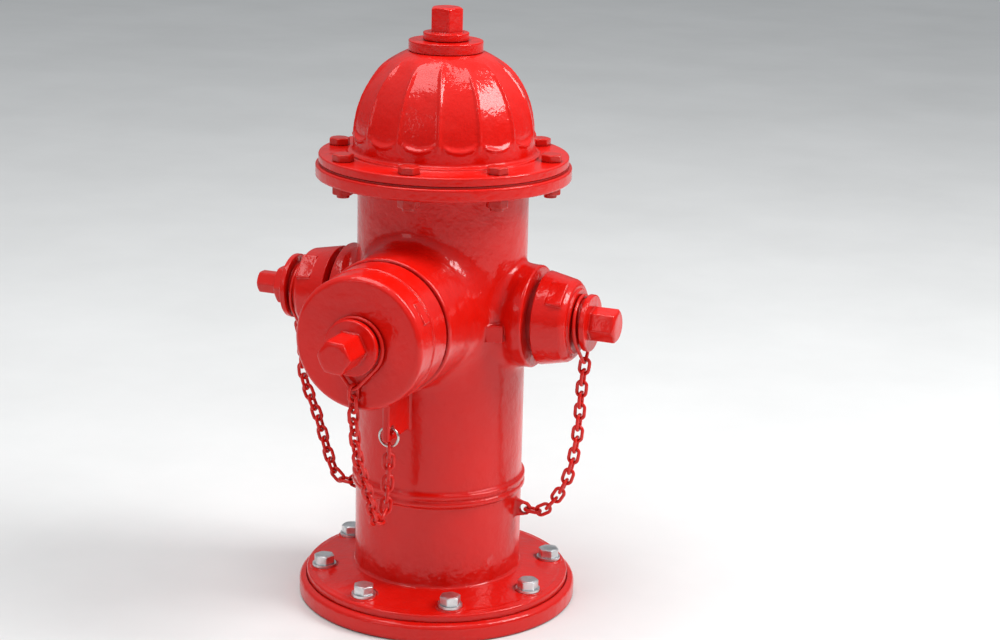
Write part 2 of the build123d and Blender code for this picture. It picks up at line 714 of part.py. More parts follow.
def chain(points, across, first_roll, odd, upper_share):
    """Upper and lower run of links, each turned a quarter from its neighbour.

    The points are a smooth route from the first link's centre to the last one's; odd is 1 for an odd
    number of links, which ends the chain on a link turned like the first, and 0 for an even number.
    """
    route = Spline(*points)
    spacing = link_inner_l - link_slack
    count = odd + 2 * math.ceil((route.length / spacing + 1 - odd) / 2)
    links = []
    for i in range(count):
        at = i / (count - 1)
        along = route % at
        flat = across - along * across.dot(along)
        plane = Plane(origin=route @ at, x_dir=along, z_dir=flat)
        links.append(plane.location * Rot(first_roll + 90 * (i % 2), 0, 0) * link())
    upper_count = round(count * upper_share)
    return Compound(links[:upper_count]), Compound(links[upper_count:])


def hose_chain(side, face, belly, upper_share):
    """Chain from a hose cap's ring to the lug below; belly is the slack route between the two ends."""
    ring_x, hung = first_link_place(face, hose_z)
    bend_r = link_inner_w / 2
    bend_x = (barrel_r + side_lug_out - side_lug_tip_wall - 2 * free
              + math.sqrt(bend_r ** 2 - (side_lug_t / 2) ** 2))
    hooked = bend_x + link_inner_l / 2 - bend_r
    route = [(ring_x, hung), *belly, (hooked, side_lug_z - 1)]
    points = [(side * x, 0, z) for x, z in route]
    return chain(points, Vector(0, 1, 0), 0, 0, upper_share)


def pumper_chain():
    """Chain from the pumper cap's ring, down in front of the barrel and up to the split ring."""
    ring_y, hung = first_link_place(pumper_cap_front, pumper_z)
    y, z = split_ring_centre()
    hooked = z - split_ring_r + split_ring_wire_r + 2 * free - link_inner_l / 2
    points = [(0, -ring_y, hung), *pumper_chain_belly, (0, y, hooked)]
    return chain(points, Vector(1, 0, 0), pumper_chain_roll, 1, pumper_upper_share)


def split_ring_centre():
    """Centre of the split ring, hanging in the lug's hole, as (y, z)."""
    y, z = lug_hole()
    return y, z - split_ring_r + pumper_lug_hole_r - split_ring_wire_r - free


def split_ring():
    y, z = split_ring_centre()
    return Pos(0, y, z) * Rot(90, 0, 0) * Torus(split_ring_r, split_ring_wire_r)


# ---------------------------------------------------------------- all the nodes
save("ground_flange", ground_flange())
save("base_gasket", base_gasket())
save("base_bolts", base_bolts())
save("base_washers", base_washers())
save("upper_barrel", upper_barrel())
save("bonnet_gasket", bonnet_gasket())
save("bonnet", bonnet())
save("bonnet_bolts", bonnet_bolts())
save("bonnet_nuts", bonnet_nuts())

save("hold_down_nut", hold_down_nut())
save("hold_down_oring", hold_down_oring())
save("weather_cap", weather_cap())
save("operating_nut", operating_nut())
washer_upper, washer_lower = thrust_washers()
save("thrust_washer_upper", washer_upper)
save("thrust_washer_lower", washer_lower)
save("seal_plate", seal_plate())
save("stem_orings", stem_orings())
save("upper_stem", upper_stem())
save("stem_sleeve", stem_sleeve())
save("stem_coupling", stem_coupling())
save("coupling_pin", coupling_pin())

pumper_thread_end = pumper_cap_front - cap_front_t - cap_gasket_t
save("pumper_nozzle", to_pumper(nozzle(
    pumper_bore_r, pumper_thread_r, pumper_collar_r, pumper_collar_t, pumper_pitch,
    pumper_boss_end, pumper_cap_rear, pumper_thread_end)))
save("pumper_nozzle_oring", to_pumper(nozzle_oring(pumper_bore_r, pumper_boss_end)))
save("pumper_cap", to_pumper(pumper_cap()))
save("pumper_cap_gasket", to_pumper(cap_gasket(pumper_bore_r, pumper_thread_r, pumper_cap_front)))
save("pumper_chain_ring", to_pumper(chain_ring(pumper_cap_front)))
save("pumper_split_ring", split_ring())
upper, lower = pumper_chain()
save("pumper_chain_upper", upper)
save("pumper_chain_lower", lower)

for word, side, front, belly, share in (("right", 1, right_cap_front, right_chain_belly, right_upper_share),
                                        ("left", -1, left_cap_front, left_chain_belly, left_upper_share)):
    save(f"hose_nozzle_{word}", to_hose(nozzle(
        hose_bore_r, hose_thread_r, hose_collar_r, hose_collar_t, hose_pitch,
        hose_boss_end, hose_cap_rear, front - cap_front_t - cap_gasket_t), side))
    save(f"hose_nozzle_oring_{word}", to_hose(nozzle_oring(hose_bore_r, hose_boss_end), side))
    save(f"hose_cap_{word}", to_hose(hose_cap(side), side))
    save(f"hose_cap_gasket_{word}", to_hose(cap_gasket(hose_bore_r, hose_thread_r, front), side))
    face = front + hose_face_rise
    save(f"hose_chain_ring_{word}", to_hose(chain_ring(face), side))
    upper, lower = hose_chain(side, face, belly, share)
    save(f"hose_chain_upper_{word}", upper)
    save(f"hose_chain_lower_{word}", lower)
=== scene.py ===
import math

import bpy
import numpy as np
import openvdb
from mathutils import Matrix, Vector


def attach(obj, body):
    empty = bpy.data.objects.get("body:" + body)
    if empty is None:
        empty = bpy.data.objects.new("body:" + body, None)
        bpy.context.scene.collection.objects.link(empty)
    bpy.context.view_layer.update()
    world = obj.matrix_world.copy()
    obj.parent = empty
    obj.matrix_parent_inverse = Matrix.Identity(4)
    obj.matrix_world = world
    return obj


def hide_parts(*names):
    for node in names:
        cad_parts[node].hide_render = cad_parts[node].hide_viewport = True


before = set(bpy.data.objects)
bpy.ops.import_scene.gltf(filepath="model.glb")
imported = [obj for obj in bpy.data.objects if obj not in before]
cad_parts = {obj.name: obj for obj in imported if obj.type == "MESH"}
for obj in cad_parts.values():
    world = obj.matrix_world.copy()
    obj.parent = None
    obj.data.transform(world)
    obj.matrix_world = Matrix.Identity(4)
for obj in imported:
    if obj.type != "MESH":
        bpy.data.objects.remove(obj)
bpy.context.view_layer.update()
scene = bpy.context.scene
scene.view_settings.view_transform = "Standard"


# ---------------------------------------------------------------- materials
def new_material(name):
    mat = bpy.data.materials.new(name)
    mat.use_nodes = True
    tree = mat.node_tree
    shader = tree.nodes["Principled BSDF"]
    return mat, tree, shader


def node(tree, kind, inputs=(), **settings):
    made = tree.nodes.new(kind)
    for key, value in settings.items():
        setattr(made, key, value)
    for key, value in dict(inputs).items():
        if isinstance(value, bpy.types.NodeSocket):
            tree.links.new(value, made.inputs[key])
        else:
            made.inputs[key].default_value = value
    return made


def noise_value(tree, coords, scale, detail=2.0, rough=0.5):
    made = node(tree, "ShaderNodeTexNoise", {"Vector": coords, "Scale": scale, "Detail": detail,
                                             "Roughness": rough})
    return made.outputs["Fac"]


def ramp(tree, value, low, high, to_low=0.0, to_high=1.0):
    made = node(tree, "ShaderNodeMapRange", {"Value": value, "From Min": low, "From Max": high,
                                             "To Min": to_low, "To Max": to_high})
    return made.outputs["Result"]


def mix_colour(tree, factor, first, second):
    made = node(tree, "ShaderNodeMix", data_type="RGBA")
    for socket, value in ((made.inputs[0], factor), (made.inputs[6], first), (made.inputs[7], second)):
        if isinstance(value, bpy.types.NodeSocket):
            tree.links.new(value, socket)
        else:
            socket.default_value = value
    return made.outputs[2]


def bump(tree, height, distance, normal=None):
    made = node(tree, "ShaderNodeBump", {"Height": height, "Distance": distance, "Strength": 1.0})
    if normal is not None:
        tree.links.new(normal, made.inputs["Normal"])
    return made.outputs["Normal"]


def enamel(name, colour, painted_shade_colour, worn=0.0, shade_reach=0.010):
    """Thick brushed red enamel on cast iron: gloss coat, orange peel, slow waves, and painted shade that
    darkens the red in crevices by ambient occlusion.
    """
    mat, tree, shader = new_material(name)
    coords = node(tree, "ShaderNodeTexCoord").outputs["Object"]
    cloud = noise_value(tree, coords, 7.0, 3.0)
    fleck = noise_value(tree, coords, 40.0, 4.0, 0.6)
    shade = mix_colour(tree, ramp(tree, cloud, 0.35, 0.7), (*colour, 1), (*[c * 0.9 for c in colour], 1))
    # painted shade: ambient occlusion mixes the colour toward a darker red in crevices, recesses and joints
    # between parts
    occlusion = node(tree, "ShaderNodeAmbientOcclusion", {"Distance": shade_reach}, samples=8)
    crevice_shade = ramp(tree, occlusion.outputs["AO"], 0.2, 0.8, 1.0, 0.0)
    shade = mix_colour(tree, crevice_shade, shade, (*painted_shade_colour, 1))
    chalk = ramp(tree, fleck, 0.5, 0.85, 0.0, 0.05 + worn)
    shade = mix_colour(tree, chalk, shade, CHALKY_RED)
    tree.links.new(shade, shader.inputs["Base Color"])
    tree.links.new(ramp(tree, fleck, 0.3, 0.75, 0.30, 0.42), shader.inputs["Roughness"])
    shader.inputs["Specular IOR Level"].default_value = 0.12
    shader.inputs["Coat Weight"].default_value = 0.6
    shader.inputs["Coat Roughness"].default_value = 0.06
    waves = bump(tree, noise_value(tree, coords, 52.0, 3.0, 0.5), 0.0014)
    peel = bump(tree, noise_value(tree, coords, 240.0, 2.0, 0.5), 0.00028, waves)
    tree.links.new(peel, shader.inputs["Normal"])
    tree.links.new(peel, shader.inputs["Coat Normal"])
    return mat


def metal(name, colour, rough_low, rough_high, grain, depth):
    """Bare or plated metal with a turned or brushed grain and faint stains."""
    mat, tree, shader = new_material(name)
    coords = node(tree, "ShaderNodeTexCoord").outputs["Object"]
    stain = noise_value(tree, coords, 70.0, 4.0, 0.6)
    shade = mix_colour(tree, ramp(tree, stain, 0.4, 0.75), (*colour, 1), (*[c * 0.62 for c in colour], 1))
    tree.links.new(shade, shader.inputs["Base Color"])
    fine = noise_value(tree, coords, grain, 3.0, 0.6)
    tree.links.new(ramp(tree, fine, 0.3, 0.7, rough_low, rough_high), shader.inputs["Roughness"])
    shader.inputs["Metallic"].default_value = 1.0
    tree.links.new(bump(tree, fine, depth), shader.inputs["Normal"])
    return mat


def part_painted(name, axis, limit):
    """Turned bronze, painted over nearer the barrel than a limit along an axis."""
    mat, tree, shader = new_material(name)
    coords = node(tree, "ShaderNodeTexCoord").outputs["Object"]
    place_along = node(tree, "ShaderNodeSeparateXYZ", {"Vector": coords}).outputs[axis]
    reach = node(tree, "ShaderNodeMath", {0: place_along}, operation="ABSOLUTE").outputs[0]
    open_metal = ramp(tree, reach, limit, limit + 0.0006)
    shade = mix_colour(tree, open_metal, PAINTED_BRONZE, (*BRONZE, 1))
    tree.links.new(shade, shader.inputs["Base Color"])
    tree.links.new(open_metal, shader.inputs["Metallic"])
    fine = noise_value(tree, coords, 300.0, 3.0, 0.6)
    tree.links.new(ramp(tree, fine, 0.3, 0.7, 0.28, 0.44), shader.inputs["Roughness"])
    tree.links.new(bump(tree, fine, 0.00006), shader.inputs["Normal"])
    return mat


def rubber(name, colour, rough):
    mat, tree, shader = new_material(name)
    coords = node(tree, "ShaderNodeTexCoord").outputs["Object"]
    bloom = noise_value(tree, coords, 60.0, 3.0)
    pale = [min(1, c * 1.6 + 0.02) for c in colour]
    shade = mix_colour(tree, ramp(tree, bloom, 0.4, 0.8), (*colour, 1), (*pale, 1))
    tree.links.new(shade, shader.inputs["Base Color"])
    tree.links.new(ramp(tree, bloom, 0.3, 0.7, rough, rough + 0.15), shader.inputs["Roughness"])
    tree.links.new(bump(tree, noise_value(tree, coords, 500.0), 0.0001), shader.inputs["Normal"])
    return mat


BRONZE = (0.55, 0.33, 0.14)
PAINTED_BRONZE = (0.42, 0.006, 0.003, 1)
CHALKY_RED = (0.72, 0.10, 0.07, 1)
# each enamel's second colour is the darker red painted as shade into crevices; the chain paint also passes a
# shorter reach for that painted shade
finish = {
    "red_enamel": enamel("red_enamel_paint", (0.74, 0.006, 0.002), (0.26, 0.002, 0.001)),
    "red_enamel_fastener": enamel("red_fastener_paint", (0.60, 0.012, 0.006), (0.24, 0.004, 0.002), 0.05),
    "red_enamel_chain": enamel("red_chain_paint", (0.74, 0.010, 0.005), (0.40, 0.004, 0.002), 0.03, 0.0025),
    "zinc_steel": metal("zinc_plate", (0.80, 0.81, 0.82), 0.30, 0.46, 420.0, 0.00008),
    "ring_steel": metal("ring_wire_plate", (0.68, 0.66, 0.63), 0.16, 0.32, 600.0, 0.00005),
    "bronze": metal("turned_bronze", BRONZE, 0.28, 0.46, 300.0, 0.00006),
    "steel": metal("turned_steel", (0.42, 0.43, 0.44), 0.28, 0.46, 300.0, 0.00006),
    "rubber": rubber("black_rubber", (0.02, 0.02, 0.02), 0.6),
    "polymer": rubber("acetal", (0.78, 0.75, 0.66), 0.4),
}
node_slots = {
    "red_enamel_fastener": ["bonnet_bolts", "bonnet_nuts"],
    "red_enamel_chain": [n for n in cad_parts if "chain" in n],
    "zinc_steel": ["base_bolts", "base_washers"],
    "ring_steel": ["pumper_split_ring"],
    "bronze": ["pumper_nozzle", "hose_nozzle_right", "hose_nozzle_left", "stem_sleeve", "seal_plate"],
    "steel": ["upper_stem", "coupling_pin", "stem_coupling"],
    "rubber": [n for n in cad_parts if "gasket" in n or "oring" in n],
    "polymer": ["thrust_washer_upper", "thrust_washer_lower"],
}
PUMPER_PAINT_END, HOSE_PAINT_END = 0.1785, 0.1435       # metres from the barrel axis
painted_over = {
    "pumper_nozzle": part_painted("pumper_nozzle_paint", "Y", PUMPER_PAINT_END),
    "hose_nozzle_right": part_painted("hose_nozzle_paint_right", "X", HOSE_PAINT_END),
    "hose_nozzle_left": part_painted("hose_nozzle_paint_left", "X", HOSE_PAINT_END),
    "bonnet_gasket": finish["red_enamel_fastener"],
}
slot_of = {n: slot for slot, names in node_slots.items() for n in names}
for name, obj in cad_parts.items():
    obj.data.materials.clear()
    obj.data.materials.append(painted_over.get(name) or finish[slot_of.get(name, "red_enamel")])


# ---------------------------------------------------------------- solids from distance fields, in millimetres
BLOCK = 8                     # a coarse cell holds this many fine cells a side
BATCH = 2000                  # coarse cells worked out at a time
PULLS = 3                     # times the points are pulled onto the surface


def cells(*counts):
    """Index of every cell in a box of cells."""
    return np.stack(np.meshgrid(*[np.arange(n) for n in counts], indexing="ij"), -1).reshape(-1, 3)


def join(a, b, radius):
    """Union of two fields with a round fillet."""
    blend = np.hypot(np.maximum(radius - a, 0), np.maximum(radius - b, 0))
    return np.maximum(radius, np.minimum(a, b)) - blend


def cut(a, b, radius):
    """Field a less field b with a rounded edge."""
    blend = np.hypot(np.maximum(radius + a, 0), np.maximum(radius - b, 0))
    return np.minimum(-radius, np.maximum(a, -b)) + blend


def both(a, b, radius):
    """Where two fields overlap, with a rounded edge."""
    return cut(a, -b, radius)


def disc(along, across, radius, low, high, edge):
    """Cylinder along an axis with rounded edges; radius and high may change over the surface."""
    side = across - radius + edge
    end = np.abs(along - (low + high) / 2) - (high - low) / 2 + edge
    return np.minimum(np.maximum(side, end), 0) + np.hypot(np.maximum(side, 0), np.maximum(end, 0)) - edge


def brick(a, b, c, half, edge):
    """Box with rounded edges."""
    q = [np.abs(v) - h + edge for v, h in zip((a, b, c), half)]
    outside = np.sqrt(sum(np.maximum(v, 0) ** 2 for v in q))
    return np.minimum(np.maximum(np.maximum(q[0], q[1]), q[2]), 0) + outside - edge


def prism(a, b, along, sides, flat, low, high, turn, edge, crown=0.0):
    """Bar with flat sides at a distance from its axis, soft corners and a turned-off far end."""
    for i in range(sides):
        angle = math.radians(turn + (i + 0.5) * 360 / sides)
        side = a * math.cos(angle) + b * math.sin(angle) - flat
        reach = side if i == 0 else both(reach, side, edge * 1.6)
    bar = both(reach, np.abs(along - (low + high) / 2) - (high - low) / 2, edge)
    if crown:
        corner = flat / math.cos(math.pi / sides)
        cone = (np.hypot(a, b) - corner + crown * 2) * 0.447 + (along - high) * 0.894
        bar = both(bar, cone, edge)
    return bar


def step_up(value, low, high):
    """Smooth rise from 0 to 1."""
    t = np.clip((value - low) / (high - low), 0, 1)
    return t * t * (3 - 2 * t)


def solid(name, field, low, high, step, body, slot, *nodes):
    """Mesh of a field's surface, its points pulled onto it, with the field's own normals."""
    low = np.array(low, float) - 2 * step
    count = np.ceil((np.array(high) + 2 * step - low) / (step * BLOCK)).astype(int)
    coarse = cells(*count)
    middle = low + (coarse + 0.5) * step * BLOCK
    far = field(*middle.T)
    grid = np.repeat(np.repeat(np.repeat(np.where(far > 0, 3 * step, -3 * step).reshape(count),
                                         BLOCK, 0), BLOCK, 1), BLOCK, 2).astype(np.float32)
    fine = cells(BLOCK, BLOCK, BLOCK)
    offset = (fine + 0.5) * step
    near = coarse[np.abs(far) < step * BLOCK * 1.15]
    for start in range(0, len(near), BATCH):
        part = near[start:start + BATCH]
        points = (low + part[:, None] * step * BLOCK + offset[None]).reshape(-1, 3)
        value = np.clip(field(*points.T), -3 * step, 3 * step).astype(np.float32)
        at = (part[:, None] * BLOCK + fine[None]).reshape(-1, 3)
        grid[at[:, 0], at[:, 1], at[:, 2]] = value
    volume = openvdb.FloatGrid(3 * step)
    volume.copyFromArray(grid)
    points, quads = volume.convertToQuads(0.0)
    points = low + (points + 0.5) * step
    for _ in range(PULLS):
        slope, value = gradient(field, points, step * 0.25), field(*points.T)
        size = np.maximum((slope ** 2).sum(1), 0.25)
        points -= np.clip(value / size, -step, step)[:, None] * slope
    normal = gradient(field, points, step * 0.25)
    normal /= np.maximum(np.linalg.norm(normal, axis=1), 1e-9)[:, None]
    mesh = bpy.data.meshes.new(name)
    faces = quads[:, ::-1].astype(int)
    corner = points[faces[:, :3]]
    facing = np.cross(corner[:, 1] - corner[:, 0], corner[:, 2] - corner[:, 0])
    if (facing * normal[faces[:, 0]]).sum() < 0:
        faces = faces[:, ::-1]
    mesh.from_pydata(points / 1000, [], faces.tolist())
    mesh.shade_smooth()
    mesh.normals_split_custom_set_from_vertices(normal.tolist())
    return place(name, mesh, body, slot, *nodes)


def gradient(field, points, gap):
    """Slope of a field at points."""
    shift = np.eye(3) * gap
    return np.stack([field(*(points + s).T) - field(*(points - s).T) for s in shift], 1) / (2 * gap)


def place(name, mesh, body, slot, *nodes):
    """Object that rides a body, with a slot's finish, instead of some CAD nodes."""
    obj = bpy.data.objects.new(name, mesh)
    scene.collection.objects.link(obj)
    mesh.materials.append(finish[slot])
    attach(obj, body)
    if nodes:
        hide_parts(*nodes)
    return obj


def ring_of(obj, count, phase, radius):
    """Repeats a mesh made on the Z axis on a circle, as one mesh."""
    mesh = obj.data
    base = np.zeros(len(mesh.vertices) * 3)
    mesh.vertices.foreach_get("co", base)
    base = base.reshape(-1, 3)
    normals = np.array([n.vector for n in mesh.vertex_normals])
    faces = np.array([list(p.vertices) for p in mesh.polygons])
    points, facing, polygons = [], [], []
    for i in range(count):
        angle = math.radians(phase + i * 360 / count)
        c, s = math.cos(angle), math.sin(angle)
        turn = np.array([[c, -s, 0], [s, c, 0], [0, 0, 1]])
        points.append(base @ turn.T + np.array([s, -c, 0]) * radius)
        facing.append(normals @ turn.T)
        polygons.append(faces + i * len(base))
    made = bpy.data.meshes.new(mesh.name)
    made.from_pydata(np.concatenate(points), [], np.concatenate(polygons).tolist())
    made.shade_smooth()
    made.normals_split_custom_set_from_vertices(np.concatenate(facing).tolist())
    made.materials.append(mesh.materials[0])
    obj.data = made


# ---------------------------------------------------------------- the castings
BARREL_R, BORE_R, PUMPER_Z, HOSE_Z = 108.0, 97.0, 401.3, 388.8
DOME_R, DOME_H, DOME_FOOT, DOME_TOP, RIBS = 114.0, 122.0, 600.0, 713.6, 14
DOME_POWER, DOME_WALL, RIB_PHASE = 2.2, 9.0, 19.5
PUMPER_BOSS_R, PUMPER_BOSS_END, PUMPER_BLEND = 86.0, 175.5, 19.0
HOSE_BOSS_R, HOSE_FLARE, HOSE_BOSS_END, HOSE_BLEND = 56, 9, 132.5, 17.0
PUMPER_SEAT_R, HOSE_SEAT_R = 65.25, 39.85
BEAD_Z, BEAD_PROUD, BEAD_GROOVE = 160.5, 4.6, 2.2
TOP_FLANGE_R, TOP_FLANGE_LOW, TOP_FLANGE_TOP = 160.9, 555.9, 572.3
BONNET_FLANGE_R, BONNET_LOW, BONNET_FLANGE_TOP = 157.1, 573.9, 585.4
BASE_FLANGE_R, BASE_LOW = 171.4, 17.0
BASE_BOLTS, BASE_BOLT_PHASE, BASE_BOLT_PCR = 8, 29.5, 148.8
BONNET_BOLTS, BONNET_BOLT_PHASE, BONNET_BOLT_PCR = 8, 5.5, 139.0
SPOT_R, SPOT_TOP = 18.0, 36.8
LUG_X, LUG_REACH, LUG_Z, LUG_HOLE_R = 100, 21, 130.5, 6
CAP_NUT_FLAT = 19.05          # 1 1/2 in across flats
CAP_HUB_T = 7.5
PENTAGON = 38.1               # 1 1/2 in point to flat


def around_axis(x, y, count, phase):
    """Coordinates turned to the nearest of some places round the Z axis, so that it lies towards -Y."""
    azimuth = np.arctan2(x, -y)
    pitch = 2 * math.pi / count
    away = (azimuth - math.radians(phase) + pitch / 2) % pitch - pitch / 2
    radius = np.hypot(x, y)
    return radius * np.sin(away), -radius * np.cos(away)


def side_lug(x, y, z):
    """Tapered chain lug below a hose nozzle, with its hole."""
    along = np.clip((np.abs(x) - LUG_X) / LUG_REACH, 0, 1)
    outline = np.hypot(np.abs(x) - LUG_X - LUG_REACH * along, z - LUG_Z) - (14.5 - 5.5 * along)
    edge = 1.3
    a, b = outline + edge, np.abs(y) - 3.25 + edge
    plate = np.minimum(np.maximum(a, b), 0) + np.hypot(np.maximum(a, 0), np.maximum(b, 0)) - edge
    return cut(plate, np.hypot(np.abs(x) - LUG_X - LUG_REACH, z - LUG_Z) - LUG_HOLE_R, 1.0)


def barrel(x, y, z):
    across = np.hypot(x, y)
    body = across - BARREL_R
    pumper = disc(-y, np.hypot(x, z - PUMPER_Z), PUMPER_BOSS_R, 0, PUMPER_BOSS_END, 3.0)
    flare = HOSE_BOSS_R + HOSE_FLARE * step_up(np.abs(x), 98, 122)
    hose = disc(np.abs(x), np.hypot(y, z - HOSE_Z), flare, 0, HOSE_BOSS_END, 3.0)
    body = join(body, pumper, PUMPER_BLEND)
    body = join(body, hose, HOSE_BLEND)
    band = BARREL_R + BEAD_PROUD - BEAD_GROOVE * np.exp(-((z - BEAD_Z) / 2.0) ** 2)
    body = join(body, disc(z, across, band, 151.5, 169.5, 3.2), 3.0)
    body = join(body, disc(z, across, TOP_FLANGE_R, TOP_FLANGE_LOW, TOP_FLANGE_TOP, 2.2), 6.0)
    rise = 33 + 9 * np.clip((165.4 - across) / 52.4, 0, 1) + 0.9 * np.exp(-((across - 163) / 2.6) ** 2)
    body = join(body, disc(z, across, BASE_FLANGE_R, BASE_LOW, rise, 2.6), 4.0)
    bolt_x, bolt_y = around_axis(x, y, BASE_BOLTS, BASE_BOLT_PHASE)
    seat = np.hypot(bolt_x, bolt_y + BASE_BOLT_PCR)
    body = join(body, disc(z, seat, SPOT_R, 20, SPOT_TOP, 1.0), 1.5)
    body = cut(body, disc(z, seat, SPOT_R, SPOT_TOP, 60, 1.0), 1.2)
    body = join(body, side_lug(x, y, z), 4.0)
    rib = brick(x, y + 137.5, z - 291, (4.5, 32.5, 37), 2.0)
    body = join(body, cut(rib, np.hypot(y + 159, z - 267) - 6, 1.0), 4.0)
    turn = math.radians(20)
    u, v = x - 97, y + 60
    pad = brick(u * math.cos(turn) + v * math.sin(turn), v * math.cos(turn) - u * math.sin(turn), z - 378,
                (11, 8, 11), 1.6)
    body = join(body, pad, 2.5)
    body = both(body, np.abs(z - 294.65) - 277.65, 0.6)
    body = cut(body, across - BORE_R, 0.8)
    body = cut(body, np.maximum(np.hypot(x, z - PUMPER_Z) - PUMPER_SEAT_R, y), 0.8)
    return cut(body, np.hypot(y, z - HOSE_Z) - HOSE_SEAT_R, 0.8)


def dome(across, z, shrink):
    """Distance from the plain dome, upright below its foot."""
    radius, height, power = DOME_R - shrink, DOME_H - shrink, DOME_POWER
    up = np.maximum(z - DOME_FOOT, 0)
    return (((across / radius) ** power + (up / height) ** power) ** (1 / power) - 1) * radius


def bonnet(x, y, z):
    across = np.hypot(x, y)
    pitch = 2 * math.pi / RIBS
    away = (np.arctan2(x, -y) - math.radians(RIB_PHASE) + pitch / 2) % pitch - pitch / 2
    share = 1 - np.abs(away) / (pitch / 2)          # 0 in a flute's middle and 1 on a rib
    off_rib = np.abs(away) * across
    lip = 607 + 9 * share ** 2
    fade = 1 - step_up(z, 690, 708)
    flute = 2.3 * (1 - share ** 2) * step_up(z, lip, lip + 7) * fade
    ridge = 1.5 * np.exp(-(off_rib / 2.4) ** 2) * step_up(z, 604, 616) * fade
    edge = 1.5 * np.exp(-((z - lip) / 2.4) ** 2) * step_up(1 - share, 0.15, 0.45)
    body = dome(across, z, 0) + flute - ridge - edge
    body = both(body, z - DOME_TOP, 1.0)
    body = join(body, disc(z, across, 121.0, 575, 588.9, 1.3), 4.0)
    body = join(body, disc(z, across, BONNET_FLANGE_R, BONNET_LOW, BONNET_FLANGE_TOP, 2.2), 2.0)
    body = both(body, BONNET_LOW - z, 0.6)
    body = cut(body, dome(across, z, DOME_WALL), 1.0)
    body = join(body, disc(z, across, 42.0, 662, DOME_TOP - 1, 1.0), 3.0)
    body = cut(body, disc(z, across, 33.3, 687.2, 760, 0.5), 0.5)
    return cut(body, across - 20.05, 0.5)


def ground_ring(x, y, z):
    across = np.hypot(x, y)
    body = disc(z, across, 181.0, 0, 24.0, 1.8)
    body = both(body, (across - 176) * 0.6 + (z - 24) * 0.8 + 0.4, 2.5)
    body = cut(body, disc(z, across, 171.7, 15.7, 60, 0.8), 0.8)
    return cut(body, across - BORE_R, 0.6)


def screw_cap(along, across, profile, rear, front, hollow_r, hollow_end, bevel, edge):
    """Cap shell about an axis, hollow behind, with a turned-off front."""
    body = disc(along, across, profile, rear, front, 1.6)
    reach = profile + front - bevel
    body = both(body, (along + across - reach) * 0.7071, edge)
    return cut(body, disc(along, across, hollow_r, rear - 20, hollow_end, 0.8), 0.8)


def cap_gear(body, along, across, face, neck, hub_r):
    """Adds a cap's neck and the disc in front of it."""
    body = join(body, disc(along, across, 30.5, face - 4, face + neck + 2, 0.5), 1.5)
    hub = disc(along, across, hub_r, face + neck, face + neck + CAP_HUB_T, 1.6)
    return join(body, hub, 0.6)


def pumper_cap(x, y, z):
    along, up = -y, z - PUMPER_Z
    across = np.hypot(x, up)
    profile = 83.2 - 1.3 * step_up(along, 215.0, 217.0) - 0.7 * np.exp(-((along - 216.5) / 1.0) ** 2)
    body = screw_cap(along, across, profile, 178.9, 253.1, 73.4, 239.1, 4.5, 1.5)
    angle = math.radians(30)
    u, v = x * math.cos(angle) + up * math.sin(angle), up * math.cos(angle) - x * math.sin(angle)
    body = join(body, brick(u - 80.6, v, along - 228, (3.0, 14, 7), 0.8), 1.2)
    body = cap_gear(body, along, across, 253.1, 12.0, 34.0)
    return join(body, prism(x, up, along, 6, CAP_NUT_FLAT, 271, 317.6, -4.0, 0.9, 3.0), 1.5)


def hose_cap(side):
    front, neck, hub_r, pad_angle = (184.0, 10.5, 36.0, 130) if side > 0 else (189.0, 11.5, 42.0, 45)
    face = front + 3

    def field(x, y, z):
        along, left, up = x * side, y * side, z - HOSE_Z
        across = np.hypot(y, up)
        profile = 59.5 - 7.3 * np.clip((along - 143.7) / (front - 6 - 143.7), 0, 1)
        body = screw_cap(along, across, profile, 142.5, front, 39.25, front - 14, 6.0, 1.6)
        body = join(body, disc(along, across, 41.0, front - 3, face, 0.9), 1.2)
        angle = math.radians(pad_angle)
        u, v = left * math.cos(angle) + up * math.sin(angle), up * math.cos(angle) - left * math.sin(angle)
        body = join(body, brick(u - 52.6, v, along - front + 16, (3.0, 17, 10), 0.8), 1.5)
        body = cap_gear(body, along, across, face, neck, hub_r)
        low = face + neck + CAP_HUB_T
        if side > 0:
            nut = prism(left, up, along, 6, CAP_NUT_FLAT, low - 1, low + 33.5, 11.0, 0.9, 3.0)
            return join(body, nut, 1.5)
        body = join(body, prism(left, up, along, 6, 23.0, low - 1, low + 18, 0.0, 1.0, 2.0), 1.5)
        return join(body, prism(left, up, along, 6, 13.5, low + 17, low + 47.6, 0.0, 0.9, 1.5), 1.2)
    return field


def bolt_head(seat, af, height, shank_r, tail):
    def field(x, y, z):
        across = np.hypot(x, y)
        head = prism(x, y, z, 6, af / 2, seat, seat + height, 8.0, 0.7, 1.1)
        head = join(head, disc(z, across, af * 0.44, seat + height - 2, seat + height + 0.3, 0.3), 0.3)
        return np.minimum(head, disc(z, across, shank_r, tail, seat + 1, 0.4))
    return field


def hex_nut(low, high, af, hole):
    def field(x, y, z):
        body = prism(x, y, -z, 6, af / 2, -high, -low, 20.0, 0.7, 0.8)
        return cut(body, np.hypot(x, y) - hole, 0.3)
    return field


def hold_down(x, y, z):
    across = np.hypot(x, y)
    body = disc(z, across, 46.4, DOME_TOP, DOME_TOP + 13.5, 1.3)
    body = join(body, disc(z, across, 33.0, DOME_TOP - 10.5, DOME_TOP + 1, 0.5), 0.5)
    return cut(body, across - 21.55, 0.5)


def cap_washer(x, y, z):
    across = np.hypot(x, y)
    return cut(disc(z, across, 28.6, 727.4, 737.0, 1.2), across - 21.6, 0.4)


